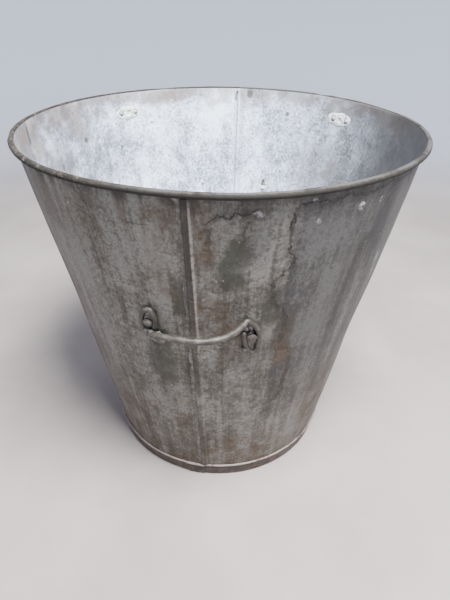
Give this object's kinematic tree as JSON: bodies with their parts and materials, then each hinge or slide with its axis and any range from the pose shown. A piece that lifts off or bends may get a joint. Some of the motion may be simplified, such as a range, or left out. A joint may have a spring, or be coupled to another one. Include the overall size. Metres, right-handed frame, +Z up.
{
  "type": "galvanised tub",
  "caption": "Tall tapered tub of galvanised sheet steel, open at the top, with a wired rim, folded side seams, a raised bottom, a foot hoop and fixed rod handles.",
  "frame": {"origin": "on the floor, at the tub's axis", "axes": "+Z up along the tub's axis; -Y towards the front seam and the front handle; +X to the right when the front is faced"},
  "size_m": [0.5998, 0.6, 0.564],
  "materials": {
    "galvanised_wall": "weathered zinc, dull grey outside and mottled pale grey inside, with stains",
    "galvanised_bottom": "weathered zinc, mottled pale grey",
    "galvanised_hoop": "weathered zinc, dark and rust-brown, with a worn bright bead",
    "wire_steel": "plain drawn steel, hidden in the rim",
    "handle_rod": "weathered zinc on steel rod, worn bright on the grip",
    "solder": "dull lumpy tin and lead solder",
    "burr_steel": "weathered zinc",
    "tinned_rivet": "tinned, with dark dirt round the heads",
    "rusty_rivet": "dark rust"
  },
  "bodies": {
    "root": {"wall_sheet_right": "galvanised_wall", "wall_sheet_left": "galvanised_wall", "rim_wire": "wire_steel", "bottom_disc": "galvanised_bottom", "bottom_solder": "solder", "front_seam_solder": "solder", "back_seam_solder": "solder", "foot_hoop": "galvanised_hoop", "foot_hoop_rivets": "rusty_rivet", "front_handle": "handle_rod", "back_handle": "handle_rod", "front_left_handle_rivet": "rusty_rivet", "front_right_handle_rivet": "rusty_rivet", "back_left_handle_rivet": "rusty_rivet", "back_right_handle_rivet": "rusty_rivet", "front_left_handle_burr": "burr_steel", "front_right_handle_burr": "burr_steel", "back_left_handle_burr": "burr_steel", "back_right_handle_burr": "burr_steel", "back_left_upper_rivets": "tinned_rivet", "back_right_upper_rivets": "tinned_rivet", "back_left_solder_patch": "solder", "back_right_solder_patch": "solder", "front_right_solder_plug": "solder"}
  },
  "joints": []
}
